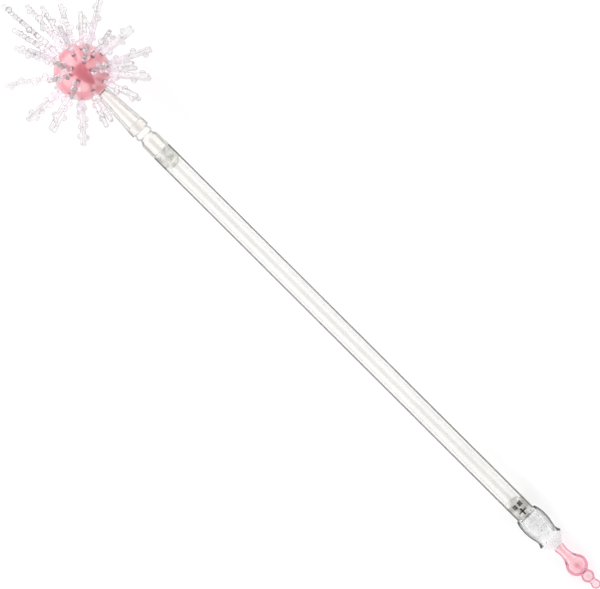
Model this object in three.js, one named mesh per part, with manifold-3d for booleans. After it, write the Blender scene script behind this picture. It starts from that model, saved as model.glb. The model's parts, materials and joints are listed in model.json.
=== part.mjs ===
// Toy magic wand: a clear plastic tube with a pink ball of crystal sprays at the head
// and a clear tulip with a pink bubble finial at the tail.
// Millimetres, +Z up. The wand lies at rest as it would on a table: on the tips of the
// sprays under its head and on the largest bubble of its finial, so its axis dips
// towards the tail. +X runs from head to tail.
import * as THREE from 'three';
import { mergeVertices } from 'three/addons/utils/BufferGeometryUtils.js';
import Module from 'manifold-3d';

const wasm = await Module();
wasm.setup();

// ---------------------------------------------------------------- dimensions
// Positions along the wand are measured from the ball's centre towards the tail.
const GAP = 0.3;             // clearance between neighbouring pieces
const TURN = 20;             // facets around a turned piece

const PITCH = 4.88;          // degrees the axis dips towards the tail at rest

const BALL_R = 19.0;         // ball, outside radius (38 mm ball)
const BALL_WALL = 2.0;
const NECK_HOLE_R = 3.5;

const STEM_R = 1.75;         // a spray's stem
const BEAD_OUT = [1.9, 1.4]; // how far its beads stand out, nearest the ball and at the tip
const PEG_R = 1.2;           // its peg in the ball's wall
const PEG_HOLE_R = 1.55;
const PEG_IN = 3.4;          // how far the peg reaches below the ball's surface

const NECK_START = 13.8;
const NECK_END = 54.4;
const NECK_R0 = 4.6;         // neck, outside radius at the ball
const NECK_R1 = 6.9;         // and at the collar

const COLLAR_START = 54.7;
const COLLAR_END = 73.2;

const SIDES = 5;             // facets around a spray

const TUBE_START = 73.5;
const TUBE_END = 411.5;
const TUBE_R = 7.0;          // 14 mm tube
const TUBE_BORE_R = 4.65;

const PLUG_R = 4.35;         // the plugs inside the tube
const STUB_R = 3.5;          // and their stubs in the collar and the tulip
const STUB_BORE_R = 3.8;

const TULIP_START = 411.2;
const TULIP_END = 434.5;
const SEAT_R = 7.35;         // recess that the tube's end sits in
const TULIP_RIM_R = 8.1;     // flat shoulder around that recess

const CAP_START = 434.8;
const CAP_END = 441.7;
const PIN_R = 2.3;
const PIN_BORE_R = 2.6;

const FINIAL_START = 442.0;
const BUBBLES = [            // centre along the wand, radius
  [458.9, 7.35],
  [469.1, 4.35],
  [476.5, 3.2],
];

// Sprays: tip, and the direction from the ball's centre to where the spray leaves the
// ball, in the wand's own frame (X head to tail, Z up, Y across). roll turns the plane
// in which the beads stand out, and side says which bead comes first.
const SPRAYS = [
  { tip: [-68.07, -5.85, 5.91], root: [-0.986, -0.1278, 0.107], roll: 80, side: 1 },
  { tip: [-57.95, 5.39, -5.91], root: [-0.9866, 0.1281, -0.1007], roll: 20, side: -1 },
  { tip: [-49.01, 11.76, 9.2], root: [-0.9566, 0.2295, 0.1795], roll: 35, side: 1 },
  { tip: [-42.44, 21.62, -5.26], root: [-0.8857, 0.4511, -0.1097], roll: 10, side: -1 },
  { tip: [-52.76, -12.42, -5.91], root: [-0.969, -0.2146, -0.1228], roll: 70, side: 1 },
  { tip: [-43.43, -20.17, -9.2], root: [-0.8802, -0.4328, -0.1948], roll: 25, side: -1 },
  { tip: [-25.43, 42.51, 10.29], root: [-0.5026, 0.8403, 0.2034], roll: 0, side: 1 },
  { tip: [-26.41, 27.07, 31.59], root: [-0.536, 0.5493, 0.641], roll: 30, side: -1 },
  { tip: [2.96, 43.69, 19.56], root: [0.0616, 0.911, 0.4079], roll: 15, side: 1 },
  { tip: [21.75, 42.97, 10.43], root: [0.4413, 0.872, 0.2118], roll: 0, side: -1 },
  { tip: [34.3, 29.04, 18.55], root: [0.7054, 0.5973, 0.3816], roll: 10, side: 1 },
  { tip: [38.63, 14.32, 27.03], root: [0.784, 0.2907, 0.5485], roll: 20, side: -1 },
  { tip: [21.75, 27.59, 33.61], root: [0.4473, 0.5676, 0.6912], roll: 5, side: 1 },
  { tip: [-3.74, 31.93, 37.34], root: [-0.076, 0.648, 0.7578], roll: 40, side: -1 },
  { tip: [-29.76, -42.38, 0.0], root: [-0.5747, -0.8183, 0.0], roll: 0, side: 1 },
  { tip: [-2.83, -47.96, 10.94], root: [-0.0573, -0.9733, 0.2221], roll: 0, side: -1 },
  { tip: [13.34, -41.46, 23.05], root: [0.2707, -0.8413, 0.4679], roll: 5, side: 1 },
  { tip: [34.76, -33.77, 12.04], root: [0.6961, -0.6763, 0.2411], roll: 0, side: -1 },
  { tip: [38.17, -9.17, 29.78], root: [0.7747, -0.186, 0.6044], roll: 30, side: 1 },
  { tip: [35.28, -13.99, -31.42], root: [0.716, -0.284, -0.6377], roll: 60, side: -1 },
  { tip: [-6.5, 14.39, 46.68], root: [-0.132, 0.292, 0.9473], roll: 10, side: 1 },
  { tip: [12.09, 14.39, 45.55], root: [0.2453, 0.292, 0.9244], roll: 50, side: -1 },
  { tip: [9.86, -16.43, 45.4], root: [0.2, -0.3333, 0.9214], roll: 90, side: 1 },
  { tip: [-8.21, -19.71, 44.41], root: [-0.1667, -0.4, 0.9012], roll: 120, side: -1 },
  { tip: [-28.84, 10.71, 39.33], root: [-0.5776, 0.2145, 0.7876], roll: 40, side: 1 },
  { tip: [-13.8, -8.54, 45.83], root: [-0.2838, -0.1757, 0.9427], roll: 75, side: -1 },
  { tip: [-32.85, -14.45, 34.72], root: [-0.6579, -0.2895, 0.6953], roll: 15, side: 1 },
  { tip: [15.44, -21.35, -41.64], root: [0.3133, -0.4333, -0.845], roll: 65, side: -1 },
  { tip: [-25.43, 42.51, -10.29], root: [-0.5026, 0.8403, -0.2034], roll: 0, side: 1 },
  { tip: [-26.41, 27.07, -31.59], root: [-0.536, 0.5493, -0.641], roll: 30, side: -1 },
  { tip: [2.96, 43.69, -19.56], root: [0.0616, 0.911, -0.4079], roll: 15, side: 1 },
  { tip: [21.75, 42.97, -10.43], root: [0.4413, 0.872, -0.2118], roll: 0, side: -1 },
  { tip: [34.3, 29.04, -18.55], root: [0.7054, 0.5973, -0.3816], roll: 10, side: 1 },
  { tip: [38.63, 14.32, -27.03], root: [0.784, 0.2907, -0.5485], roll: 20, side: -1 },
  { tip: [21.75, 27.59, -33.61], root: [0.4473, 0.5676, -0.6912], roll: 5, side: 1 },
  { tip: [-3.74, 31.93, -37.34], root: [-0.076, 0.648, -0.7578], roll: 40, side: -1 },
  { tip: [-2.83, -47.96, -10.94], root: [-0.0573, -0.9733, -0.2221], roll: 0, side: 1 },
  { tip: [13.34, -41.46, -23.05], root: [0.2707, -0.8413, -0.4679], roll: 5, side: -1 },
  { tip: [34.76, -33.77, -12.04], root: [0.6961, -0.6763, -0.2411], roll: 0, side: 1 },
  { tip: [-6.5, 14.39, -47.15], root: [-0.132, 0.292, -0.9473], roll: 10, side: -1 },
  { tip: [12.09, 14.39, -45.55], root: [0.2453, 0.292, -0.9244], roll: 50, side: 1 },
  { tip: [-8.21, -19.71, -47.3], root: [-0.1667, -0.4, -0.9012], roll: 120, side: -1 },
  { tip: [-28.84, 10.71, -39.33], root: [-0.5776, 0.2145, -0.7876], roll: 40, side: 1 },
  { tip: [-13.8, -8.54, -47.8], root: [-0.2838, -0.1757, -0.9427], roll: 75, side: -1 },
  { tip: [-32.85, -14.45, -34.72], root: [-0.6579, -0.2895, -0.6953], roll: 15, side: 1 },
];

// ------------------------------------------------------------------ materials
const plastic = (color, roughness, opacity = 1) =>
  new THREE.MeshStandardMaterial({
    color, roughness, metalness: 0, opacity, transparent: opacity < 1, flatShading: true,
  });
const PINK = plastic(0xf2a3b0, 0.28);
const PEARL = plastic(0xf3eef6, 0.15, 0.6);
const CLEAR = plastic(0xf4f3f1, 0.06, 0.35);
const SMOKE = plastic(0xc9c3c0, 0.3, 0.7);
const PINK_CLEAR = plastic(0xf7b6c2, 0.08, 0.6);

// -------------------------------------------------------------------- helpers
// Reduces a geometry to one closed, outward-facing mesh with shared vertices.
function closed(geometry) {
  let g = geometry.clone();
  g.deleteAttribute('normal');
  g.deleteAttribute('uv');
  g = mergeVertices(g, 1e-4);
  const p = g.getAttribute('position');
  const old = g.index.array;
  const kept = [];
  let volume = 0;
  const a = new THREE.Vector3(), b = new THREE.Vector3(), c = new THREE.Vector3();
  for (let i = 0; i < old.length; i += 3) {
    const [i0, i1, i2] = [old[i], old[i + 1], old[i + 2]];
    if (i0 === i1 || i1 === i2 || i0 === i2) continue;
    kept.push(i0, i1, i2);
    a.fromBufferAttribute(p, i0);
    b.fromBufferAttribute(p, i1);
    c.fromBufferAttribute(p, i2);
    volume += a.dot(b.cross(c)) / 6;
  }
  if (volume < 0) {
    for (let i = 0; i < kept.length; i += 3) [kept[i + 1], kept[i + 2]] = [kept[i + 2], kept[i + 1]];
  }
  g.setIndex(kept);
  return g;
}

function solid(geometry) {
  const g = closed(geometry);
  return new wasm.Manifold(new wasm.Mesh({
    numProp: 3,
    vertProperties: new Float32Array(g.getAttribute('position').array),
    triVerts: new Uint32Array(g.index.array),
  }));
}

function geometryOf(manifold) {
  const m = manifold.getMesh();
  const g = new THREE.BufferGeometry();
  g.setAttribute('position', new THREE.BufferAttribute(new Float32Array(m.vertProperties), 3));
  g.setIndex([...m.triVerts]);
  return g;
}

// A piece turned about the wand's axis, from [radius, position] pairs.
function turned(profile, facets = TURN) {
  const points = profile.map(([r, x]) => new THREE.Vector2(r, x));
  const g = new THREE.LatheGeometry(points, facets);
  g.rotateZ(-Math.PI / 2); // the lathe's axis is Y; the wand's is X
  return closed(g);
}

function box(x0, x1, y0, y1, z0, z1) {
  const g = new THREE.BoxGeometry(x1 - x0, y1 - y0, z1 - z0);
  g.translate((x0 + x1) / 2, (y0 + y1) / 2, (z0 + z1) / 2);
  return g;
}

// A mesh of a piece, with its name.
function piece(name, geometry, material) {
  const g = geometry;
  g.computeVertexNormals();
  const mesh = new THREE.Mesh(g, material);
  mesh.name = name;
  return mesh;
}

// Where a spray stands: its root on the ball, its direction and its length.
function stance(spray) {
  const root = new THREE.Vector3(...spray.root).normalize().multiplyScalar(BALL_R);
  const dir = new THREE.Vector3(...spray.tip).sub(root);
  const length = dir.length();
  dir.normalize();
  // across lies in the plane of the spray and of the wand's own upward direction
  const up = Math.abs(dir.z) > 0.9 ? new THREE.Vector3(1, 0, 0) : new THREE.Vector3(0, 0, 1);
  const side = new THREE.Vector3().crossVectors(dir, up).normalize();
  const frame = new THREE.Matrix4().makeBasis(side, dir, new THREE.Vector3().crossVectors(side, dir));
  frame.setPosition(root);
  const turn = new THREE.Matrix4().makeRotationY(THREE.MathUtils.degToRad(spray.roll));
  return { frame: frame.multiply(turn), length };
}

// ---------------------------------------------------------------- ball halves
// Two hollow half shells, parted on the upright plane through the wand's axis. They
// clamp the neck's flange, and every spray has a hole in the wall.
function ballHalf(sign) {
  const y0 = GAP / 2;
  const outer = [], inner = [];
  const rings = 6;
  const rim = (r) => Math.asin(y0 / r);
  for (let i = 0; i <= rings; i++) {
    const t = Math.PI / 2 - (Math.PI / 2 - rim(BALL_R)) * (i / rings);
    outer.push([i === 0 ? 0 : BALL_R * Math.cos(t), BALL_R * Math.sin(t)]);
  }
  const ri = BALL_R - BALL_WALL;
  const steps = rings - 2;
  for (let i = 0; i <= steps; i++) {
    const t = rim(ri) + (Math.PI / 2 - rim(ri)) * (i / steps);
    inner.push([i === steps ? 0 : ri * Math.cos(t), ri * Math.sin(t)]);
  }
  const profile = [...outer, ...inner].map(([r, y]) => new THREE.Vector2(r, y));
  const bowl = new THREE.LatheGeometry(profile, TURN);
  if (sign < 0) bowl.rotateX(Math.PI);
  let shell = solid(bowl);

  const neckHole = new THREE.CylinderGeometry(NECK_HOLE_R, NECK_HOLE_R, 8, 12);
  neckHole.rotateZ(-Math.PI / 2);
  neckHole.translate(17.5, 0, 0);
  shell = shell.subtract(solid(neckHole));

  for (const spray of SPRAYS) {
    if (Math.sign(spray.root[1]) !== sign) continue;
    const hole = new THREE.CylinderGeometry(PEG_HOLE_R, PEG_HOLE_R, 9, SIDES, 1, false, Math.PI / 2);
    hole.applyMatrix4(stance(spray).frame);
    shell = shell.subtract(solid(hole));
  }
  return geometryOf(shell);
}

// --------------------------------------------------------------------- sprays
// A moulded crystal twig: a peg, a stem, and beads that stand out on alternate sides.
function sprayGeometry(spray) {
  const { frame, length } = stance(spray);
  const beads = length > 40 ? 5 : 4;
  // radius, distance from the ball's surface, how far a bead stands out, and its side
  const rings = [[PEG_R, -PEG_IN, 0, 1], [PEG_R, GAP, 0, 1], [1.45, GAP, 0, 1]];
  const first = 5.2, last = length - 4.4;
  for (let i = 0; i < beads; i++) {
    const f = i / (beads - 1);
    const at = first + (last - first) * f;
    const side = spray.side * (i % 2 ? -1 : 1);
    const out = BEAD_OUT[0] + (BEAD_OUT[1] - BEAD_OUT[0]) * f - (i === 0 ? 0.5 : 0);
    rings.push([STEM_R, at - 2.1, 0, side], [STEM_R, at, out, side], [STEM_R - 0.05, at + 2.1, 0, side]);
  }
  rings.push([1.3, length - 0.8, 0, 1]);

  const profile = [new THREE.Vector2(0, rings[0][1])];
  for (const [r, y] of rings) profile.push(new THREE.Vector2(r, y));
  profile.push(new THREE.Vector2(0, length));
  const g = new THREE.LatheGeometry(profile, SIDES, Math.PI / 2);
  const p = g.getAttribute('position');
  const rows = profile.length;
  for (let i = 0; i < p.count; i++) {
    const row = i % rows;
    if (row === 0 || row === rows - 1) continue;
    const [r, , out, side] = rings[row - 1];
    const x = p.getX(i);
    if (x * side > 0) p.setX(i, x * (1 + out / r));
  }
  g.applyMatrix4(frame);
  return closed(g);
}

// ----------------------------------------------------------------- neck, collar
const neck = turned([
  [0, NECK_START], [4.4, NECK_START], [4.4, NECK_START + 1.6], [3.1, NECK_START + 1.6],
  [3.1, BALL_R + 0.35], [NECK_R0, BALL_R + 0.35], [NECK_R0 + 0.15, 24], [NECK_R1, NECK_END - 1],
  [NECK_R1 - 0.4, NECK_END], [4.9, NECK_END], [4.9, 47.8], [2.8, 22.6], [0, 22],
]);

const collar = turned([
  [0, 48.2], [4.2, 48.2], [4.6, 48.7], [4.6, COLLAR_START],
  [5.8, COLLAR_START], [5.6, 55.6], [6.2, 57.0], [6.25, 58.2], [5.05, 59.4],
  [5.3, 60.4], [6.5, 62.4], [6.85, 64.0], [6.6, 67.4], [6.95, 70.6], [7.0, COLLAR_END],
  [STUB_BORE_R, COLLAR_END], [STUB_BORE_R, 62.5], [0, 62.5],
]);

// ------------------------------------------------------------- tube and plugs
const tube = turned([
  [TUBE_BORE_R, TUBE_START], [TUBE_R - 0.3, TUBE_START], [TUBE_R, TUBE_START + 0.3],
  [TUBE_R, TUBE_END - 0.3], [TUBE_R - 0.3, TUBE_END], [TUBE_BORE_R, TUBE_END],
  [TUBE_BORE_R, TUBE_START],
]);

const upperPlug = turned([
  [0, 62.8], [STUB_R - 0.4, 62.8], [STUB_R, 63.2], [STUB_R, TUBE_START + 0.1], [PLUG_R, TUBE_START + 0.1],
  [PLUG_R, 85.4], [3.7, 86.5], [2.1, 87.2], [0, 87.4],
]);

let lowerPlug = solid(turned([
  [0, 397.6], [2.1, 397.8], [3.7, 398.5], [PLUG_R, 399.6], [PLUG_R, TUBE_END - 0.1],
  [STUB_R, TUBE_END - 0.1], [STUB_R, 417.6], [STUB_R - 0.4, 418], [0, 418],
]));
// two snap windows straight through the plug, and a cross of moulding slots
for (const [y0, y1] of [[0.9, 2.9], [-2.8, -0.9]]) {
  lowerPlug = lowerPlug.subtract(solid(box(402.0, 404.6, y0, y1, -6, 6)));
}
for (const s of [1, -1]) {
  const z = s > 0 ? [3.2, 6] : [-6, -3.2];
  lowerPlug = lowerPlug.subtract(solid(box(405.9, 410.6, -0.4, 0.4, ...z)));
  lowerPlug = lowerPlug.subtract(solid(box(407.9, 408.7, -2.4, 2.4, ...z)));
}

// ----------------------------------------------------------------- tail pieces
const tulip = turned([
  [STUB_BORE_R, TULIP_START + 0.6], [SEAT_R, TULIP_START + 0.6], [SEAT_R, TULIP_START],
  [TULIP_RIM_R, TULIP_START], [8.75, 413.4], [9.3, 416.8], [9.5, 420.4], [9.2, 424.2],
  [8.4, 428.2], [7.95, 430.6], [8.4, 432.6], [9.2, 433.9], [9.2, TULIP_END],
  [6.8, TULIP_END], [6.8, 431.4], [6.2, 430.4], [6.6, 427.4], [7.4, 422.0], [6.9, 417.2],
  [STUB_BORE_R, 414.6], [STUB_BORE_R, TULIP_START + 0.6],
]);

const tailCap = turned([
  [0, 431.8], [6.4, 431.8], [6.4, CAP_START], [9.0, CAP_START], [9.0, CAP_START + 0.5],
  [3.75, CAP_END], [PIN_BORE_R, CAP_END], [PIN_BORE_R, 435.0], [0, 435.0],
]);

function bubble([c, r], from, to, steps) {
  const points = [];
  for (let i = 0; i <= steps; i++) {
    const a = THREE.MathUtils.degToRad(from + (to - from) * (i / steps));
    points.push([r * Math.sin(a), c - r * Math.cos(a)]);
  }
  return points;
}
const finial = turned([
  [0, 435.3], [PIN_R - 0.3, 435.3], [PIN_R, 435.6], [PIN_R, FINIAL_START], [3.8, FINIAL_START],
  [3.75, 443.2], [3.4, 445.4], [3.3, 448.4], [3.55, 451.2],
  ...bubble(BUBBLES[0], 34, 150, 6), [3.0, 465.8],
  ...bubble(BUBBLES[1], 50, 140, 3), [2.1, 473.3],
  ...bubble(BUBBLES[2], 52, 146, 3), [0, BUBBLES[2][0] + BUBBLES[2][1]],
], 18);

// ------------------------------------------------------------------- assembly
const wand = new THREE.Group();       // the wand's own frame: ball at 0, tail along +X
wand.rotation.y = THREE.MathUtils.degToRad(PITCH);

wand.add(
  piece('ball_half_left', ballHalf(1), PINK),
  piece('ball_half_right', ballHalf(-1), PINK),
);
SPRAYS.forEach((spray, i) => {
  const name = `crystal_spray_${String(i + 1).padStart(2, '0')}`;
  wand.add(piece(name, sprayGeometry(spray), PEARL));
});
wand.add(
  piece('neck_cone', neck, CLEAR),
  piece('collar', collar, CLEAR),
  piece('upper_plug', upperPlug, SMOKE),
  piece('tube', tube, CLEAR),
  piece('lower_plug', geometryOf(lowerPlug), SMOKE),
  piece('tulip', tulip, CLEAR),
  piece('tail_cap', tailCap, CLEAR),
  piece('finial', finial, PINK_CLEAR),
);

// The origin is the middle of the wand's footprint, on the surface it lies on.
const root = new THREE.Group();
root.add(wand);
root.updateMatrixWorld(true);
const extent = new THREE.Box3().setFromObject(wand, true);
wand.position.set(
  -(extent.min.x + extent.max.x) / 2,
  -(extent.min.y + extent.max.y) / 2,
  -extent.min.z,
);

export default root;
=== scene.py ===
"""Looks of the toy magic wand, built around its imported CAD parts. Metres, in the CAD's frame."""
import json
import math
import random

import bmesh
import bpy
from mathutils import Matrix, Vector, noise


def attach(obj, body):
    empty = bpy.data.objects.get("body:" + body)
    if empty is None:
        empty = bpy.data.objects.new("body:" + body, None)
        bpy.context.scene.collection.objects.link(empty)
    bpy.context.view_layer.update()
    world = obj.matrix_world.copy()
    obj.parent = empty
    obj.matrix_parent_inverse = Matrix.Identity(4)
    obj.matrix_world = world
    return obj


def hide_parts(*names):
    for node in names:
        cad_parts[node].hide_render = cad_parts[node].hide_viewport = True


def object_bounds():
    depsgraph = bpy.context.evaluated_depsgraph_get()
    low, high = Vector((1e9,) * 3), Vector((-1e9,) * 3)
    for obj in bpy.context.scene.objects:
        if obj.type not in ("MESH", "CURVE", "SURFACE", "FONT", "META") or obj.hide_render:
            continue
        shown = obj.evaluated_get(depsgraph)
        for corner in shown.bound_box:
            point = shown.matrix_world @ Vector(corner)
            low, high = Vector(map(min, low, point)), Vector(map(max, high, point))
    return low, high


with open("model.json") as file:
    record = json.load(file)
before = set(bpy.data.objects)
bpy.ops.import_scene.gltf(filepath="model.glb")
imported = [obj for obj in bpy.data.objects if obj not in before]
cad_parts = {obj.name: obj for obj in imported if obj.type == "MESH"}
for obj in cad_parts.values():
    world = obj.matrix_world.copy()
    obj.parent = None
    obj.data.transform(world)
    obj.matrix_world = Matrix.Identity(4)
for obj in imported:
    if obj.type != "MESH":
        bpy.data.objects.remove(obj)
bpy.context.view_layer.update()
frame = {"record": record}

# --------------------------------------------------------------------- the wand's frame
# Local millimetres: X along the wand from the ball's centre to the tail, Y across, Z up
# and square to the wand. The grip mount stands on the axis 375 mm behind the ball.
mounts = {m["name"]: m for m in frame["record"]["mounts"]}
AXIS = Vector(mounts["grip"]["axis"]).normalized()
ACROSS = Vector((0.0, 1.0, 0.0))
UP = AXIS.cross(ACROSS).normalized()
BALL = Vector(mounts["grip"]["pos_m"]) - AXIS * 0.375
MM = 0.001
PLACE = Matrix((
    (AXIS.x * MM, ACROSS.x * MM, UP.x * MM, BALL.x),
    (AXIS.y * MM, ACROSS.y * MM, UP.y * MM, BALL.y),
    (AXIS.z * MM, ACROSS.z * MM, UP.z * MM, BALL.z),
    (0, 0, 0, 1),
))

BALL_R = 19.0
BALL_WALL = 2.0
STEM_R = 1.75

# Each spray: its tip, the direction in which it leaves the ball, the turn of the plane
# its beads stand in, and the side of the first bead. The same table as the CAD's.
SPRAYS = [
    ((-68.07, -5.85, 5.91), (-0.986, -0.1278, 0.107), 80, 1),
    ((-57.95, 5.39, -5.91), (-0.9866, 0.1281, -0.1007), 20, -1),
    ((-49.01, 11.76, 9.2), (-0.9566, 0.2295, 0.1795), 35, 1),
    ((-42.44, 21.62, -5.26), (-0.8857, 0.4511, -0.1097), 10, -1),
    ((-52.76, -12.42, -5.91), (-0.969, -0.2146, -0.1228), 70, 1),
    ((-43.43, -20.17, -9.2), (-0.8802, -0.4328, -0.1948), 25, -1),
    ((-25.43, 42.51, 10.29), (-0.5026, 0.8403, 0.2034), 0, 1),
    ((-26.41, 27.07, 31.59), (-0.536, 0.5493, 0.641), 30, -1),
    ((2.96, 43.69, 19.56), (0.0616, 0.911, 0.4079), 15, 1),
    ((21.75, 42.97, 10.43), (0.4413, 0.872, 0.2118), 0, -1),
    ((34.3, 29.04, 18.55), (0.7054, 0.5973, 0.3816), 10, 1),
    ((38.63, 14.32, 27.03), (0.784, 0.2907, 0.5485), 20, -1),
    ((21.75, 27.59, 33.61), (0.4473, 0.5676, 0.6912), 5, 1),
    ((-3.74, 31.93, 37.34), (-0.076, 0.648, 0.7578), 40, -1),
    ((-29.76, -42.38, 0.0), (-0.5747, -0.8183, 0.0), 0, 1),
    ((-2.83, -47.96, 10.94), (-0.0573, -0.9733, 0.2221), 0, -1),
    ((13.34, -41.46, 23.05), (0.2707, -0.8413, 0.4679), 5, 1),
    ((34.76, -33.77, 12.04), (0.6961, -0.6763, 0.2411), 0, -1),
    ((38.17, -9.17, 29.78), (0.7747, -0.186, 0.6044), 30, 1),
    ((35.28, -13.99, -31.42), (0.716, -0.284, -0.6377), 60, -1),
    ((-6.5, 14.39, 46.68), (-0.132, 0.292, 0.9473), 10, 1),
    ((12.09, 14.39, 45.55), (0.2453, 0.292, 0.9244), 50, -1),
    ((9.86, -16.43, 45.4), (0.2, -0.3333, 0.9214), 90, 1),
    ((-8.21, -19.71, 44.41), (-0.1667, -0.4, 0.9012), 120, -1),
    ((-28.84, 10.71, 39.33), (-0.5776, 0.2145, 0.7876), 40, 1),
    ((-13.8, -8.54, 45.83), (-0.2838, -0.1757, 0.9427), 75, -1),
    ((-32.85, -14.45, 34.72), (-0.6579, -0.2895, 0.6953), 15, 1),
    ((15.44, -21.35, -41.64), (0.3133, -0.4333, -0.845), 65, -1),
    ((-25.43, 42.51, -10.29), (-0.5026, 0.8403, -0.2034), 0, 1),
    ((-26.41, 27.07, -31.59), (-0.536, 0.5493, -0.641), 30, -1),
    ((2.96, 43.69, -19.56), (0.0616, 0.911, -0.4079), 15, 1),
    ((21.75, 42.97, -10.43), (0.4413, 0.872, -0.2118), 0, -1),
    ((34.3, 29.04, -18.55), (0.7054, 0.5973, -0.3816), 10, 1),
    ((38.63, 14.32, -27.03), (0.784, 0.2907, -0.5485), 20, -1),
    ((21.75, 27.59, -33.61), (0.4473, 0.5676, -0.6912), 5, 1),
    ((-3.74, 31.93, -37.34), (-0.076, 0.648, -0.7578), 40, -1),
    ((-2.83, -47.96, -10.94), (-0.0573, -0.9733, -0.2221), 0, 1),
    ((13.34, -41.46, -23.05), (0.2707, -0.8413, -0.4679), 5, -1),
    ((34.76, -33.77, -12.04), (0.6961, -0.6763, -0.2411), 0, 1),
    ((-6.5, 14.39, -47.15), (-0.132, 0.292, -0.9473), 10, -1),
    ((12.09, 14.39, -45.55), (0.2453, 0.292, -0.9244), 50, 1),
    ((-8.21, -19.71, -47.3), (-0.1667, -0.4, -0.9012), 120, -1),
    ((-28.84, 10.71, -39.33), (-0.5776, 0.2145, -0.7876), 40, 1),
    ((-13.8, -8.54, -47.8), (-0.2838, -0.1757, -0.9427), 75, -1),
    ((-32.85, -14.45, -34.72), (-0.6579, -0.2895, -0.6953), 15, 1),
]


# ---------------------------------------------------------------------------- meshes
def catmull(points, n=8):
    """A smooth line through [(r, x), ...]."""
    p = [points[0], *points, points[-1]]
    out = []
    for i in range(1, len(p) - 2):
        p0, p1, p2, p3 = (Vector((*q, 0)) for q in p[i - 1:i + 3])
        for k in range(n):
            t = k / n
            out.append(tuple((0.5 * (
                2 * p1 + (p2 - p0) * t + (2 * p0 - 5 * p1 + 4 * p2 - p3) * t * t
                + (3 * p1 - p0 - 3 * p2 + p3) * t * t * t))[:2]))
    out.append(tuple(points[-1]))
    return out


def rounded(profile, n=4):
    """[(r, x) or (r, x, fillet), ...] with each filleted corner turned into a small arc."""
    out = []
    last = len(profile) - 1
    for i, q in enumerate(profile):
        if len(q) < 3 or i in (0, last):
            out.append((q[0], q[1]))
            continue
        c = Vector(q[:2])
        a, b = Vector(profile[i - 1][:2]) - c, Vector(profile[i + 1][:2]) - c
        f = min(q[2], a.length * 0.45, b.length * 0.45)
        a, b = c + a.normalized() * f, c + b.normalized() * f
        for k in range(n + 1):
            t = k / n
            out.append(tuple((1 - t) ** 2 * a + 2 * t * (1 - t) * c + t * t * b))
    return out


def turned(name, profile, material, segments=96, ring=False, sharp=35, wave=None):
    """A closed piece turned about the wand's axis. ring: the profile closes on itself."""
    bm = bmesh.new()
    rows = []
    for r, x in profile:
        if r < 1e-6:
            rows.append([bm.verts.new((x, 0, 0))])
        else:
            row = []
            for k in range(segments):
                a = 2 * math.pi * k / segments
                q = r + (wave(r, x, a) if wave else 0.0)
                row.append(bm.verts.new((x, -q * math.sin(a), q * math.cos(a))))
            rows.append(row)
    pairs = list(zip(rows, rows[1:]))
    if ring:
        pairs.append((rows[-1], rows[0]))
    for a, b in pairs:
        for k in range(segments):
            j = (k + 1) % segments
            if len(a) == 1 and len(b) == 1:
                continue
            if len(a) == 1:
                bm.faces.new((a[0], b[j], b[k]))
            elif len(b) == 1:
                bm.faces.new((a[k], a[j], b[0]))
            else:
                bm.faces.new((a[k], a[j], b[j], b[k]))
    return finish_mesh(name, bm, material, sharp)


def finish_mesh(name, bm, material, sharp=35):
    bmesh.ops.recalc_face_normals(bm, faces=bm.faces)
    if bm.calc_volume(signed=True) < 0:
        bmesh.ops.reverse_faces(bm, faces=bm.faces)
    mesh = bpy.data.meshes.new(name)
    limit = math.radians(sharp)
    for e in bm.edges:
        e.smooth = not (len(e.link_faces) == 2 and e.calc_face_angle(0) > limit)
    for f in bm.faces:
        f.smooth = True
    bm.transform(PLACE)
    bm.to_mesh(mesh)
    bm.free()
    o = bpy.data.objects.new(name, mesh)
    bpy.context.scene.collection.objects.link(o)
    mesh.materials.append(material)
    return o


def stance(spray):
    """A spray's own frame in local millimetres (Y along it, from the ball's surface), and its length."""
    tip, root, roll, _ = spray
    root = Vector(root).normalized() * BALL_R
    along = Vector(tip) - root
    length = along.length
    along.normalize()
    up = Vector((1, 0, 0)) if abs(along.z) > 0.9 else Vector((0, 0, 1))
    side = along.cross(up).normalized()
    third = side.cross(along)
    m = Matrix((
        (side.x, along.x, third.x, root.x),
        (side.y, along.y, third.y, root.y),
        (side.z, along.z, third.z, root.z),
        (0, 0, 0, 1),
    ))
    return m @ Matrix.Rotation(math.radians(roll), 4, "Y"), length


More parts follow.
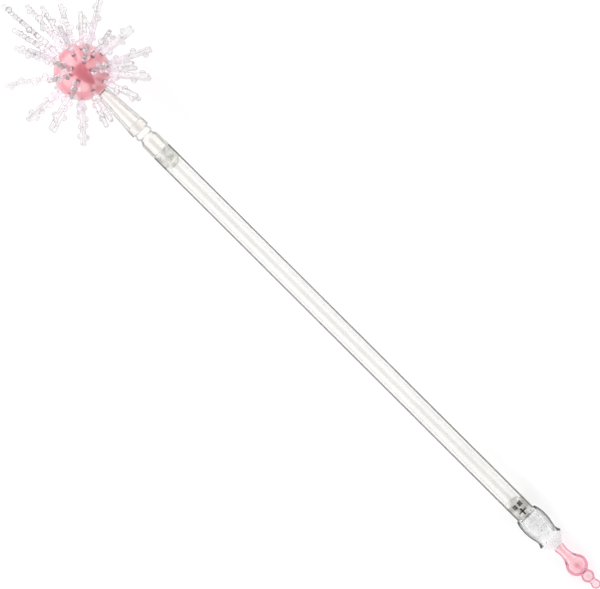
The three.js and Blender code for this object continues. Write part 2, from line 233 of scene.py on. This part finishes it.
def spray_mesh(name, spray, seed, material):
    """A moulded crystal twig: a straight stem with a blunt round tip, and round beads melted onto alternate sides."""
    rng = random.Random(seed)
    place, length = stance(spray)
    stem = STEM_R + rng.uniform(-0.12, 0.18)
    bm = bmesh.new()
    sides = 20
    stations = [(1.0, -3.4), (1.25, -3.2), (1.25, -0.2), (stem - 0.1, 0.15), (stem, 1.0)]
    ringed = spray[0][0] < -40
    steps = round((length - 2.2) / 2.5) if ringed else 8
    pitch = (length - 2.2) / steps
    for i in range(1, steps + 1):
        f = i / steps
        r = stem * (1.0 - 0.08 * f) + rng.uniform(-0.04, 0.04)
        y = 1.0 + (length - 2.2) * f
        if ringed and i < steps:
            # stacked steps: each ring swells and then falls back sharply
            stations += [(r - 0.38, y - 0.86 * pitch), (r + 0.36, y - 0.12 * pitch), (r + 0.30, y - 0.03 * pitch)]
        stations.append((r - (0.30 if ringed and i < steps else 0.0), y))
    tip_r = stations[-1][0]
    for a in (20, 45, 68, 84):
        t = math.radians(a)
        stations.append((tip_r * (0.22 + 0.78 * math.cos(t)), length - 1.2 + 1.2 * math.sin(t)))
    rows = []
    for r, y in stations:
        rows.append([bm.verts.new((r * math.cos(2 * math.pi * k / sides), y, r * math.sin(2 * math.pi * k / sides))) for k in range(sides)])
    bm.faces.new(rows[0])
    bm.faces.new(list(reversed(rows[-1])))
    for a, b in zip(rows, rows[1:]):
        for k in range(sides):
            j = (k + 1) % sides
            bm.faces.new((a[k], b[k], b[j], a[j]))
    # round beads on alternate sides, large near the ball and smaller near the tip
    first, last = 5.4, length - rng.uniform(4.6, 6.4)
    beads = max(3, round((last - first) / 6.6) + 1)
    for i in range(beads):
        f = i / (beads - 1)
        y = first + (last - first) * f + (rng.uniform(-0.7, 0.7) if 0 < i < beads - 1 else 0)
        r = 2.2 - 0.35 * f + rng.uniform(-0.25, 0.25)
        turn = math.radians((0 if (i % 2 == 0) == (spray[3] > 0) else 180) + rng.uniform(-22, 22))
        off = (2.0 if i else 1.6) - 0.1 * f + rng.uniform(-0.2, 0.35)
        add_ball(bm, (off * math.cos(turn), y, off * math.sin(turn)), r)
        if i < beads - 1 and rng.random() < 0.4:
            turn += math.radians(rng.choice((75, 105, -75, -105)))
            y2 = y + (last - first) / (beads - 1) * rng.uniform(0.4, 0.6)
            add_ball(bm, (1.7 * math.cos(turn), y2, 1.7 * math.sin(turn)), rng.uniform(1.25, 1.6))
    bmesh.ops.recalc_face_normals(bm, faces=bm.faces)
    mesh = bpy.data.meshes.new(name)
    bm.to_mesh(mesh)
    bm.free()
    o = bpy.data.objects.new(name + ".raw", mesh)
    bpy.context.scene.collection.objects.link(o)
    remesh = o.modifiers.new("skin", "REMESH")
    remesh.mode = "VOXEL"
    remesh.voxel_size = 0.30
    relax = o.modifiers.new("relax", "SMOOTH")
    relax.factor = 0.5
    relax.iterations = 3
    done = bpy.data.meshes.new_from_object(o.evaluated_get(bpy.context.evaluated_depsgraph_get()))
    bpy.data.objects.remove(o)
    done.name = name
    done.transform(PLACE @ place)
    for f in done.polygons:
        f.use_smooth = True
    done.materials.clear()
    done.materials.append(material)
    out = bpy.data.objects.new(name, done)
    bpy.context.scene.collection.objects.link(out)
    return out


def add_ball(bm, centre, r):
    bmesh.ops.create_icosphere(bm, subdivisions=2, radius=r, matrix=Matrix.Translation(centre))


def half_ball(name, sign, material):
    """Half of the hollow ball, parted on the upright plane through the axis, with a fine seam, the neck's opening and a hole for each spray's peg."""
    bm = bmesh.new()
    segments, gap = 128, 0.012
    profile = []
    for i in range(41):
        t = math.pi / 2 * (1 - i / 40)
        if i == 40:
            t = math.asin((gap + 0.03) / BALL_R)
        profile.append((BALL_R * math.cos(t) if i else 0.0, BALL_R * math.sin(t)))
    profile.append((BALL_R - 0.04, gap))
    ri = BALL_R - BALL_WALL
    profile.append((ri, gap))
    for i in range(1, 17):
        t = math.pi / 2 * i / 16
        profile.append((ri * math.cos(t) if i < 16 else 0.0, gap + (ri - gap) * math.sin(t)))
    rows = []
    for r, y in profile:
        if r < 1e-6:
            rows.append([bm.verts.new((0, sign * y, 0))])
        else:
            rows.append([bm.verts.new((r * math.cos(2 * math.pi * k / segments), sign * y, r * math.sin(2 * math.pi * k / segments))) for k in range(segments)])
    for a, b in zip(rows, rows[1:]):
        for k in range(segments):
            j = (k + 1) % segments
            if len(a) == 1:
                bm.faces.new((a[0], b[k], b[j]))
            elif len(b) == 1:
                bm.faces.new((a[k], b[0], a[j]))
            else:
                bm.faces.new((a[k], b[k], b[j], a[j]))
    o = finish_mesh(name, bm, material, 40)

    holes = bmesh.new()
    for direction, r in [((1, 0, 0), 3.5)] + [(q[1], 1.55) for q in SPRAYS]:
        d = Vector(direction).normalized()
        if sign * d.y * BALL_R < -4:
            continue
        m = Matrix.Translation(d * 18) @ Vector((0, 0, 1)).rotation_difference(d).to_matrix().to_4x4()
        bmesh.ops.create_cone(holes, cap_ends=True, segments=24, radius1=r, radius2=r, depth=4.2, matrix=m)
    c = finish_mesh("cutter", holes, material)
    m = o.modifiers.new("cut", "BOOLEAN")
    m.operation, m.solver, m.object = "DIFFERENCE", "EXACT", c
    done = bpy.data.meshes.new_from_object(o.evaluated_get(bpy.context.evaluated_depsgraph_get()))
    o.modifiers.clear()
    o.data = done
    done.name = name
    bpy.data.objects.remove(c)
    bm = bmesh.new()
    bm.from_mesh(done)
    for e in bm.edges:
        e.smooth = not (len(e.link_faces) == 2 and e.calc_face_angle(0) > math.radians(40))
    bm.to_mesh(done)
    bm.free()
    return o


# ------------------------------------------------------------------------- materials
def shader(name):
    m = bpy.data.materials.new(name)
    m.use_nodes = True
    nt = m.node_tree
    b = nt.nodes["Principled BSDF"]
    return m, nt, b


def position(nt, scale=1.0):
    """Object coordinates in millimetres times scale."""
    coord = nt.nodes.new("ShaderNodeTexCoord")
    mapping = nt.nodes.new("ShaderNodeMapping")
    mapping.inputs["Scale"].default_value = (1000 * scale,) * 3
    nt.links.new(coord.outputs["Object"], mapping.inputs["Vector"])
    return mapping.outputs["Vector"]


def noise_node(nt, vector, scale, detail=3.0, rough=0.5):
    n = nt.nodes.new("ShaderNodeTexNoise")
    n.inputs["Scale"].default_value = scale
    n.inputs["Detail"].default_value = detail
    n.inputs["Roughness"].default_value = rough
    nt.links.new(vector, n.inputs["Vector"])
    return n.outputs["Fac"]


def ramp(nt, fac, stops):
    r = nt.nodes.new("ShaderNodeValToRGB")
    el = r.color_ramp.elements
    while len(el) < len(stops):
        el.new(0.5)
    for e, (at, colour) in zip(el, stops):
        e.position = at
        e.color = (*colour, 1) if len(colour) == 3 else (colour[0],) * 3 + (1,)
    nt.links.new(fac, r.inputs["Fac"])
    return r.outputs["Color"]


def spread(nt, fac, low, high):
    m = nt.nodes.new("ShaderNodeMapRange")
    m.inputs["To Min"].default_value = low
    m.inputs["To Max"].default_value = high
    m.inputs["From Min"].default_value = 0.3
    m.inputs["From Max"].default_value = 0.7
    nt.links.new(fac, m.inputs["Value"])
    return m.outputs["Result"]


def bump(nt, b, height, strength, distance):
    n = nt.nodes.new("ShaderNodeBump")
    n.inputs["Strength"].default_value = strength
    n.inputs["Distance"].default_value = distance
    nt.links.new(height, n.inputs["Height"])
    nt.links.new(n.outputs["Normal"], b.inputs["Normal"])


def rim(nt, tint, edge, start=0.45, end=0.85):
    """A glass tint that deepens where the surface turns away. Part of this is the longer way through the wall, and
    part is painted shade: a dark painted edge that stands in for the dark surroundings seen in the glass at its
    edges.
    """
    weight = nt.nodes.new("ShaderNodeLayerWeight")
    weight.inputs["Blend"].default_value = 0.5
    fade = nt.nodes.new("ShaderNodeMapRange")
    fade.interpolation_type = "SMOOTHSTEP"
    fade.inputs["From Min"].default_value = start
    fade.inputs["From Max"].default_value = end
    nt.links.new(weight.outputs["Facing"], fade.inputs["Value"])
    mix = nt.nodes.new("ShaderNodeMix")
    mix.data_type = "RGBA"
    nt.links.new(fade.outputs["Result"], mix.inputs["Factor"])
    nt.links.new(tint, mix.inputs["A"])
    if isinstance(edge, tuple):
        mix.inputs["B"].default_value = (*edge, 1)
    else:
        nt.links.new(edge, mix.inputs["B"])
    return mix.outputs["Result"]


def let_light_through(m, nt, b, tint):
    """Lamps shine through the piece, dimmed a little at each of its faces."""
    out = nt.nodes["Material Output"]
    path = nt.nodes.new("ShaderNodeLightPath")
    open_ = nt.nodes.new("ShaderNodeBsdfTransparent")
    open_.inputs["Color"].default_value = (*tint, 1)
    mix = nt.nodes.new("ShaderNodeMixShader")
    nt.links.new(path.outputs["Is Shadow Ray"], mix.inputs["Fac"])
    nt.links.new(b.outputs[0], mix.inputs[1])
    nt.links.new(open_.outputs["BSDF"], mix.inputs[2])
    nt.links.new(mix.outputs["Shader"], out.inputs["Surface"])


def pink_shell():
    m, nt, b = shader("pink_shell")
    v = position(nt)
    cloud = noise_node(nt, v, 0.12, 2)
    nt.links.new(ramp(nt, cloud, [(0.25, (0.62, 0.145, 0.19)), (0.75, (0.67, 0.17, 0.215))]), b.inputs["Base Color"])
    nt.links.new(spread(nt, noise_node(nt, v, 1.3, 4), 0.28, 0.36), b.inputs["Roughness"])
    b.inputs["IOR"].default_value = 1.58
    b.inputs["Coat Weight"].default_value = 1.0
    b.inputs["Coat Roughness"].default_value = 0.13
    b.inputs["Coat IOR"].default_value = 2.35
    bump(nt, b, noise_node(nt, v, 2.2, 3), 0.05, 0.00005)
    return m


def clear(name="clear", tint=(0.955, 0.95, 0.94), edge=(0.30, 0.30, 0.29), start=0.45, end=0.85, rough=(0.015, 0.05), streaks=0.0, dark_streak_depth=0.0, ior=1.49):
    m, nt, b = shader(name)
    v = position(nt)
    deep = ramp(nt, noise_node(nt, v, 0.05, 2), [(0.3, tint), (0.7, tuple(min(1, c + 0.015) for c in tint))])
    if dark_streak_depth:
        # painted dark streaks that stand in for the dark surroundings refracted through the flutes, fine across the
        # wand and long along it
        turn = nt.nodes.new("ShaderNodeMapping")
        turn.inputs["Rotation"].default_value = (0, math.radians(-4.88), math.radians(7))
        nt.links.new(v, turn.inputs["Vector"])
        thin = nt.nodes.new("ShaderNodeMapping")
        thin.inputs["Scale"].default_value = (0.07, 1.0, 1.0)
        nt.links.new(turn.outputs["Vector"], thin.inputs["Vector"])
        painted_streaks = ramp(nt, noise_node(nt, thin.outputs["Vector"], 0.9, 3, 0.6), [(0.36, (1 - dark_streak_depth,) * 3), (0.40, (1, 1, 1)), (0.60, (1, 1, 1))])
        mix = nt.nodes.new("ShaderNodeMix")
        mix.data_type = "RGBA"
        mix.blend_type = "MULTIPLY"
        mix.inputs["Factor"].default_value = 1.0
        nt.links.new(deep, mix.inputs["A"])
        nt.links.new(painted_streaks, mix.inputs["B"])
        deep = mix.outputs["Result"]
    nt.links.new(rim(nt, deep, edge, start, end), b.inputs["Base Color"])
    nt.links.new(spread(nt, noise_node(nt, v, 0.35, 3), *rough), b.inputs["Roughness"])
    b.inputs["IOR"].default_value = ior
    b.inputs["Transmission Weight"].default_value = 1.0
    bump(nt, b, noise_node(nt, v, 0.5, 2), 0.05 + streaks, 0.00008)
    let_light_through(m, nt, b, (0.99, 0.99, 0.99))
    return m


def crystal(name="crystal", tip=(0.38, 0.375, 0.37)):
    m, nt, b = shader(name)
    v = position(nt)
    mottle = noise_node(nt, v, 0.30, 2)
    far_tint = ramp(nt, mottle, [
        (0.34, (0.68, 0.675, 0.675)), (0.43, (0.77, 0.755, 0.785)), (0.50, (0.86, 0.855, 0.85)),
        (0.58, (0.84, 0.79, 0.80)), (0.66, (0.73, 0.725, 0.73))])
    near_tint_painted_pink = ramp(nt, mottle, [
        (0.34, (0.80, 0.775, 0.84)), (0.43, (0.87, 0.83, 0.89)), (0.50, (0.93, 0.915, 0.915)),
        (0.58, (0.92, 0.82, 0.85)), (0.66, (0.82, 0.81, 0.86))])
    # near the ball the crystal is painted lighter and pink, a painted reflection of the ball; away from it the tint
    # is plain, and its edges take a darker painted shade, deepest at the tips
    out = nt.nodes.new("ShaderNodeVectorMath")
    out.operation = "DISTANCE"
    nt.links.new(v, out.inputs[0])
    out.inputs[1].default_value = tuple(BALL * 1000)
    reach = nt.nodes.new("ShaderNodeMapRange")
    reach.interpolation_type = "SMOOTHSTEP"
    reach.inputs["From Min"].default_value, reach.inputs["From Max"].default_value = 24.0, 40.0
    nt.links.new(out.outputs["Value"], reach.inputs["Value"])

    def by_reach(near, far):
        mix = nt.nodes.new("ShaderNodeMix")
        mix.data_type = "RGBA"
        nt.links.new(reach.outputs["Result"], mix.inputs["Factor"])
        for key, c in (("A", near), ("B", far)):
            if isinstance(c, tuple):
                mix.inputs[key].default_value = (*c, 1)
            else:
                nt.links.new(c, mix.inputs[key])
        return mix.outputs["Result"]

    # painted edges: light pink near the ball, as a painted reflection of it, and dark towards the tips, as painted
    # shade
    edge = by_reach((0.62, 0.54, 0.59), tip)
    nt.links.new(rim(nt, by_reach(near_tint_painted_pink, far_tint), edge, 0.20, 0.60), b.inputs["Base Color"])
    nt.links.new(spread(nt, noise_node(nt, v, 0.9, 3), 0.05, 0.16), b.inputs["Roughness"])
    b.inputs["IOR"].default_value = 1.24
    b.inputs["Transmission Weight"].default_value = 0.85
    b.inputs["Coat Weight"].default_value = 1.0
    b.inputs["Coat IOR"].default_value = 1.7
    b.inputs["Coat Roughness"].default_value = 0.1
    bump(nt, b, noise_node(nt, v, 0.8, 3), 0.1, 0.00015)
    let_light_through(m, nt, b, (0.96, 0.95, 0.96))
    return m


def frosted():
    m, nt, b = shader("frosted")
    v = position(nt)
    deep = ramp(nt, noise_node(nt, v, 0.33, 4), [(0.34, (0.44, 0.43, 0.40)), (0.47, (0.66, 0.65, 0.62)), (0.64, (0.95, 0.94, 0.92))])
    nt.links.new(deep, b.inputs["Base Color"])
    nt.links.new(spread(nt, noise_node(nt, v, 1.2, 3), 0.25, 0.4), b.inputs["Roughness"])
    b.inputs["IOR"].default_value = 1.5
    b.inputs["Transmission Weight"].default_value = 0.5
    bump(nt, b, noise_node(nt, v, 1.5, 3), 0.15, 0.0001)
    let_light_through(m, nt, b, (0.9, 0.9, 0.9))
    return m


def milky_cap():
    m, nt, b = shader("clear_cap")
    v = position(nt)
    deep = ramp(nt, noise_node(nt, v, 0.3, 3), [(0.3, (0.78, 0.755, 0.77)), (0.7, (0.86, 0.84, 0.85))])
    nt.links.new(deep, b.inputs["Base Color"])
    nt.links.new(spread(nt, noise_node(nt, v, 1.0, 3), 0.22, 0.34), b.inputs["Roughness"])
    b.inputs["IOR"].default_value = 1.45
    b.inputs["Transmission Weight"].default_value = 0.2
    bump(nt, b, noise_node(nt, v, 1.2, 3), 0.04, 0.00005)
    let_light_through(m, nt, b, (0.93, 0.93, 0.93))
    return m


def pocket():
    # Painted shade: the walls of the plug's windows are near black, standing in for the shade inside them.
    m, nt, b = shader("plug_pocket_painted_shade")
    v = position(nt)
    nt.links.new(ramp(nt, noise_node(nt, v, 0.8, 3), [(0.3, (0.03, 0.03, 0.028)), (0.7, (0.06, 0.058, 0.055))]), b.inputs["Base Color"])
    nt.links.new(spread(nt, noise_node(nt, v, 1.2, 3), 0.4, 0.6), b.inputs["Roughness"])
    b.inputs["IOR"].default_value = 1.3
    return m


def pink_clear(name="pink_clear", edge=(0.63, 0.13, 0.235), start=0.20, end=0.36):
    m, nt, b = shader(name)
    v = position(nt)
    deep = ramp(nt, noise_node(nt, v, 0.15, 2), [(0.3, (0.93, 0.72, 0.75)), (0.7, (0.945, 0.75, 0.78))])
    nt.links.new(rim(nt, deep, edge, start, end), b.inputs["Base Color"])
    nt.links.new(spread(nt, noise_node(nt, v, 0.5, 3), 0.02, 0.07), b.inputs["Roughness"])
    b.inputs["IOR"].default_value = 1.49
    b.inputs["Transmission Weight"].default_value = 1.0
    bump(nt, b, noise_node(nt, v, 0.5, 2), 0.05, 0.0001)
    let_light_through(m, nt, b, (0.985, 0.95, 0.96))
    return m


# Painted edges: the edge colour that each clear piece hands to rim is partly the longer way through the wall and
# partly painted shade. The tube's and the tulip's near-black edges, and the darker edges of the sprays at the head
# end, are painted dark outlines. The finial's deep pink edge is a painted deeper pink, and the inner faces take
# lighter painted edges.
PINK, CRYSTAL, FROST, PINK_CLEAR = pink_shell(), crystal(), frosted(), pink_clear()
CLEAR = clear("clear_tube", (0.895, 0.89, 0.88), (0.02, 0.02, 0.019), 0.34, 0.56, streaks=-0.04)
BORE_CLEAR = clear("clear_bore", (0.895, 0.89, 0.88), (0.26, 0.26, 0.255), 0.62, 0.92, streaks=-0.04)
NECK_CLEAR = clear("clear_neck", (0.945, 0.935, 0.92), (0.30, 0.28, 0.265), 0.26, 0.64, (0.04, 0.09), 0.1)
# The tulip's near-black streaks and near-black edge are painted shade.
CUT_CLEAR = clear("clear_tulip", (0.97, 0.97, 0.972), (0.002, 0.002, 0.002), 0.36, 0.46, (0.02, 0.05), 0.1, dark_streak_depth=0.92, ior=1.27)
TULIP_INNER = clear("clear_tulip_inner", (0.975, 0.975, 0.977), (0.75, 0.75, 0.75), 0.7, 0.98, (0.02, 0.06), 0.1, ior=1.36)
STUB_CLEAR = clear("clear_stub", (0.95, 0.945, 0.935), (0.4, 0.4, 0.38), 0.4, 0.8)
PINK_BORE = pink_clear("pink_clear_bore", (0.85, 0.62, 0.66), 0.7, 0.98)
CRYSTAL_DARK_PAINTED_EDGE = crystal("crystal_dark_painted_edge", (0.14, 0.14, 0.15))
CAP_CLEAR = milky_cap()
POCKET_PAINTED_SHADE = pocket()

# ---------------------------------------------------------------------------- pieces
made = []


def put(o, body, slot, *nodes):
    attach(o, body)
    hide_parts(*nodes)
    made.append(o)
    return o


def inner_wall(o, material):
    """The faces that look at the axis, or along it, take a material of their own."""
    o.data.materials.append(material)
    inverse = PLACE.inverted()
    for f in o.data.polygons:
        c = inverse @ f.center
        n = inverse.to_3x3() @ f.normal
        if n.y * c.y + n.z * c.z <= 0 or abs(n.x) > 0.97 * n.length:
            f.material_index = 1
    return o


put(half_ball("ball_left", 1, PINK), "head", "pink_shell", "ball_half_left")
put(half_ball("ball_right", -1, PINK), "head", "pink_shell", "ball_half_right")

# Sprays whose tip lies more than 40 mm before the ball take the crystal with the darker painted edge.
for i, spray in enumerate(SPRAYS):
    n = f"{i + 1:02d}"
    put(spray_mesh(f"spray_{n}", spray, 100 + i, CRYSTAL_DARK_PAINTED_EDGE if spray[0][0] < -40 else CRYSTAL), "head", "crystal", f"crystal_spray_{n}")

put(turned("neck", rounded([
    (0, 13.8), (4.4, 13.8, 0.2), (4.4, 15.4, 0.2), (3.1, 15.4, 0.2), (3.1, 18.79, 0.05), (3.5, 18.72), (4.5, 18.5, 0.05), (4.6, 19.4), (4.75, 24), (6.9, 53.2, 0.5), (6.75, 54.4, 0.3),
    (4.9, 54.4, 0.15), (4.9, 48.0, 1.5), (3.3, 22.0, 2.0), (2.1, 16.6, 0.5), (0, 16.2)]), NECK_CLEAR),
    "head", "clear", "neck_cone")

put(turned("collar", [
    *rounded([(0, 48.2), (4.5, 48.2, 0.3), (4.96, 48.9, 0.2), (4.96, 54.65), (5.7, 54.65, 0.2), (5.75, 55.0)]),
    *catmull([(5.6, 55.5), (6.05, 56.6), (6.25, 57.9), (5.6, 59.0), (5.05, 59.6), (5.4, 60.5), (6.3, 62.0), (6.85, 64.0),
              (6.75, 66.8), (6.8, 69.2), (6.98, 71.5), (6.95, 72.9)], 5),
    *rounded([(6.8, 73.2), (3.8, 73.2, 0.15), (3.8, 62.5, 0.3), (0, 62.5)]),
], NECK_CLEAR), "head", "clear", "collar")

put(inner_wall(turned("tube_clear", rounded([
    (4.65, 80), (4.65, 73.5, 0.15), (7.0, 73.5, 0.3), (7.0, 411.5, 0.3), (4.65, 411.5, 0.15), (4.65, 405)]),
    CLEAR, ring=True), BORE_CLEAR), "tube", "clear", "tube")

def stub(o, inside):
    """The plug is milky where it grips the tube, and clear on its stub."""
    o.data.materials.append(STUB_CLEAR)
    for f in o.data.polygons:
        x = (PLACE.inverted() @ f.center).x
        if inside(x):
            f.material_index = 1
    return o


put(stub(turned("plug_upper", [
    *rounded([(0, 62.8), (3.6, 62.45, 0.2), (3.86, 62.7), (3.86, 73.6, 0.15), (4.66, 73.6, 0.15), (4.66, 84.3)]),
    *catmull([(4.6, 85.0), (4.0, 86.2), (2.4, 87.2), (0.0, 87.5)], 5),
], FROST), lambda x: x < 73.55), "upper_plug", "frosted", "upper_plug")


def lower_plug():
    o = turned("plug_lower", [
        *catmull([(0.0, 397.5), (2.4, 397.8), (4.0, 398.8), (4.6, 400.0)], 5),
        *rounded([(4.66, 400.6), (4.66, 411.4, 0.15), (3.86, 411.4, 0.15), (3.86, 412.9), (3.5, 413.1), (3.5, 417.6), (3.2, 418, 0.2), (0, 418)]),
    ], FROST)

    def cut(x0, x1, y0, y1, z0, z1):
        bm = bmesh.new()
        bmesh.ops.create_cube(bm, size=1, matrix=Matrix.Translation(((x0 + x1) / 2, (y0 + y1) / 2, (z0 + z1) / 2))
                              @ Matrix.Diagonal((x1 - x0, y1 - y0, z1 - z0, 1)))
        c = finish_mesh("cutter", bm, POCKET_PAINTED_SHADE)
        m = o.modifiers.new("cut", "BOOLEAN")
        m.operation, m.solver, m.object = "DIFFERENCE", "EXACT", c
        m.material_mode = "TRANSFER"
        done = bpy.data.meshes.new_from_object(o.evaluated_get(bpy.context.evaluated_depsgraph_get()))
        o.modifiers.clear()
        o.data = done
        bpy.data.objects.remove(c)

    # the cut walls of each window take the near-black painted shade
    for y0, y1 in ((0.7, 3.1), (-3.0, -0.7)):
        for z0, z1 in ((2.6, 6), (-6, -2.6)):
            cut(401.7, 404.8, y0, y1, z0, z1)
    for z0, z1 in ((3.2, 6), (-6, -3.2)):
        cut(405.9, 411.0, -0.5, 0.5, z0, z1)
        cut(407.8, 408.8, -2.7, 2.7, z0, z1)
    o.data.name = "plug_lower"
    names = [m.name for m in o.data.materials]
    o.data.materials.append(STUB_CLEAR)
    for f in o.data.polygons:
        if (PLACE.inverted() @ f.center).x > 411.45:
            f.material_index = len(names)
    return o


put(lower_plug(), "lower_plug", "frosted", "lower_plug")

def flutes(r, x, a):
    """Fine twisted flutes on the tulip, fading out at both its ends."""
    if not 412 < x < 434 or r < 5:
        return 0.0
    fade = min(1.0, (x - 412) / 3, (434 - x) / 3)
    return -0.13 * fade * (0.5 + 0.5 * math.cos(48 * a + 0.25 * (x - 412)))


put(inner_wall(turned("tulip_clear", [
    *rounded([(3.8, 412.6), (3.8, 411.8, 0.1), (7.35, 411.8, 0.1), (7.35, 411.2, 0.1), (8.05, 411.2, 0.15)]),
    *catmull([(8.15, 411.5), (8.75, 413.4), (9.3, 416.8), (9.5, 420.4), (9.2, 424.2), (8.4, 428.2), (7.95, 430.6),
              (8.35, 432.4), (9.1, 433.8)], 6),
    *rounded([(9.2, 434.1), (9.2, 434.5, 0.15), (6.8, 434.5, 0.15), (6.8, 431.4, 0.2)]),
    *catmull([(6.3, 430.5), (6.6, 427.4), (7.4, 422.0), (7.5, 417.6), (7.1, 414.4), (6.2, 413.1), (3.9, 412.9)], 6),
], CUT_CLEAR, 288, ring=True, wave=flutes), TULIP_INNER), "tail", "clear", "tulip")

put(turned("cap_clear", rounded([
    (0, 431.8), (6.4, 431.8, 0.3), (6.4, 434.8), (8.9, 434.8, 0.15), (8.9, 435.4, 0.3), (3.75, 441.7, 0.2), (2.6, 441.7, 0.1),
    (2.6, 435.0, 0.2), (0, 435.0)]), CAP_CLEAR), "tail", "clear", "tail_cap")


def arc(c, r, a0, a1, n):
    out = []
    for i in range(n + 1):
        a = math.radians(a0 + (a1 - a0) * i / n)
        out.append((r * math.sin(a), c - r * math.cos(a)))
    return out


put(inner_wall(turned("finial_pink", [
    *rounded([(0.9, 435.3, 0.0), (2.1, 435.3, 0.2), (2.3, 435.6), (2.3, 441.9), (3.8, 441.9, 0.2)]),
    *catmull([(3.8, 442.4), (3.7, 443.4), (3.42, 445.4), (3.32, 447.2), (3.45, 449.2), (3.95, 451.1), (4.75, 452.7), (5.63, 454.18)], 5)[:-1],
    *arc(458.9, 7.35, 50, 152, 26),
    *arc(469.1, 4.35, 44, 142, 18),
    *arc(476.5, 3.2, 48, 180, 16)[:-1], (0, 479.7),
    # back along the bore: blown hollow, open at the pin
    (0, 463.9), *reversed(arc(459.1, 4.8, 35, 175, 22)),
    *catmull([(2.55, 454.4), (2.0, 452.6), (1.5, 450.0), (1.35, 447.0), (1.5, 444.4), (1.3, 442.6), (0.9, 441.0)], 5),
], PINK_CLEAR, ring=True, sharp=60), PINK_BORE), "tail", "pink_clear", "finial")

# -------------------------------------------------------------------- floor and light
low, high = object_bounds()
centre = (Vector(low) + Vector(high)) / 2

bm = bmesh.new()
bmesh.ops.create_grid(bm, x_segments=2, y_segments=2, size=6.0)
mesh = bpy.data.meshes.new("floor")
bm.to_mesh(mesh)
bm.free()
floor = bpy.data.objects.new("floor", mesh)
bpy.context.scene.collection.objects.link(floor)
m, nt, b = shader("floor_paper")
v = position(nt, 0.02)
nt.links.new(ramp(nt, noise_node(nt, v, 1.0, 2), [(0.3, (0.93, 0.93, 0.93)), (0.7, (0.95, 0.95, 0.95))]), b.inputs["Base Color"])
b.inputs["Roughness"].default_value = 0.9
b.inputs["Specular IOR Level"].default_value = 0.1
floor.data.materials.append(m)

# The studio is a white tent with an opening over the wand, from above its head to beyond its
# tail. The tent is a little brighter on one side, and its opening has one soft edge.
world = bpy.data.worlds.new("studio")
bpy.context.scene.world = world
world.use_nodes = True
nt = world.node_tree
coord = nt.nodes.new("ShaderNodeTexCoord")
split = nt.nodes.new("ShaderNodeSeparateXYZ")
nt.links.new(coord.outputs["Generated"], split.inputs["Vector"])


def math_node(operation, *values):
    n = nt.nodes.new("ShaderNodeMath")
    n.operation = operation
    for i, value in enumerate(values):
        if isinstance(value, (int, float)):
            n.inputs[i].default_value = value
        else:
            nt.links.new(value, n.inputs[i])
    return n.outputs["Value"]


def step(value, start, end, low, high):
    n = nt.nodes.new("ShaderNodeMapRange")
    n.interpolation_type = "SMOOTHSTEP"
    for key, number in (("From Min", start), ("From Max", end), ("To Min", low), ("To Max", high)):
        n.inputs[key].default_value = number
    nt.links.new(value, n.inputs["Value"])
    return n.outputs["Result"]


X, Y, Z = split.outputs["X"], split.outputs["Y"], split.outputs["Z"]
lean = math_node("DIVIDE", Y, math_node("SQRT", math_node("ADD", math_node("ADD", math_node("MULTIPLY", Y, Y), math_node("MULTIPLY", Z, Z)), 1e-6)))
back = math_node("MULTIPLY", lean, -1.0)
towards_head = math_node("MULTIPLY", X, -1.0)
GAP = 0.2
tent = math_node("MAXIMUM", step(lean, 0.40, 0.47, GAP, 1.45), step(back, 0.32, 0.60, GAP, 2.1))
tent = math_node("MAXIMUM", tent, step(towards_head, 0.22, 0.70, GAP, 2.4))
tent = math_node("MAXIMUM", tent, step(Z, 0.28, 0.06, GAP, 1.2))
path = nt.nodes.new("ShaderNodeLightPath")
mixed = nt.nodes.new("ShaderNodeMix")
nt.links.new(path.outputs["Is Camera Ray"], mixed.inputs["Factor"])
nt.links.new(math_node("MULTIPLY", tent, 0.93), mixed.inputs["A"])
mixed.inputs["B"].default_value = 1.0
nt.links.new(mixed.outputs["Result"], nt.nodes["Background"].inputs["Strength"])
nt.nodes["Background"].inputs["Color"].default_value = (1, 1, 1, 1)

# ----------------------------------------------------------------------------- camera
# square to the wand's axis from above, turned so that the head is upper left
DISTANCE = 3.2
look = BALL + AXIS * 0.2046 - ACROSS * 0.00249
right = AXIS * 0.70845 + ACROSS * 0.70576
upward = UP.cross(right).normalized()
camera = bpy.data.cameras.new("camera")
camera.sensor_width = 36
camera.lens = 36 * DISTANCE / 0.3942
camera.clip_end = 30
cam = bpy.data.objects.new("camera", camera)
at = look + UP * DISTANCE
cam.matrix_world = Matrix((
    (right.x, upward.x, UP.x, at.x), (right.y, upward.y, UP.y, at.y), (right.z, upward.z, UP.z, at.z), (0, 0, 0, 1)))
bpy.context.scene.collection.objects.link(cam)
bpy.context.scene.camera = cam

scene = bpy.context.scene
scene.view_settings.view_transform = "Standard"
scene.view_settings.look = "None"
scene.view_settings.exposure = 0.0
scene.cycles.max_bounces = 16
scene.cycles.transmission_bounces = 14
scene.cycles.glossy_bounces = 6
scene.cycles.diffuse_bounces = 4
scene.cycles.transparent_max_bounces = 12
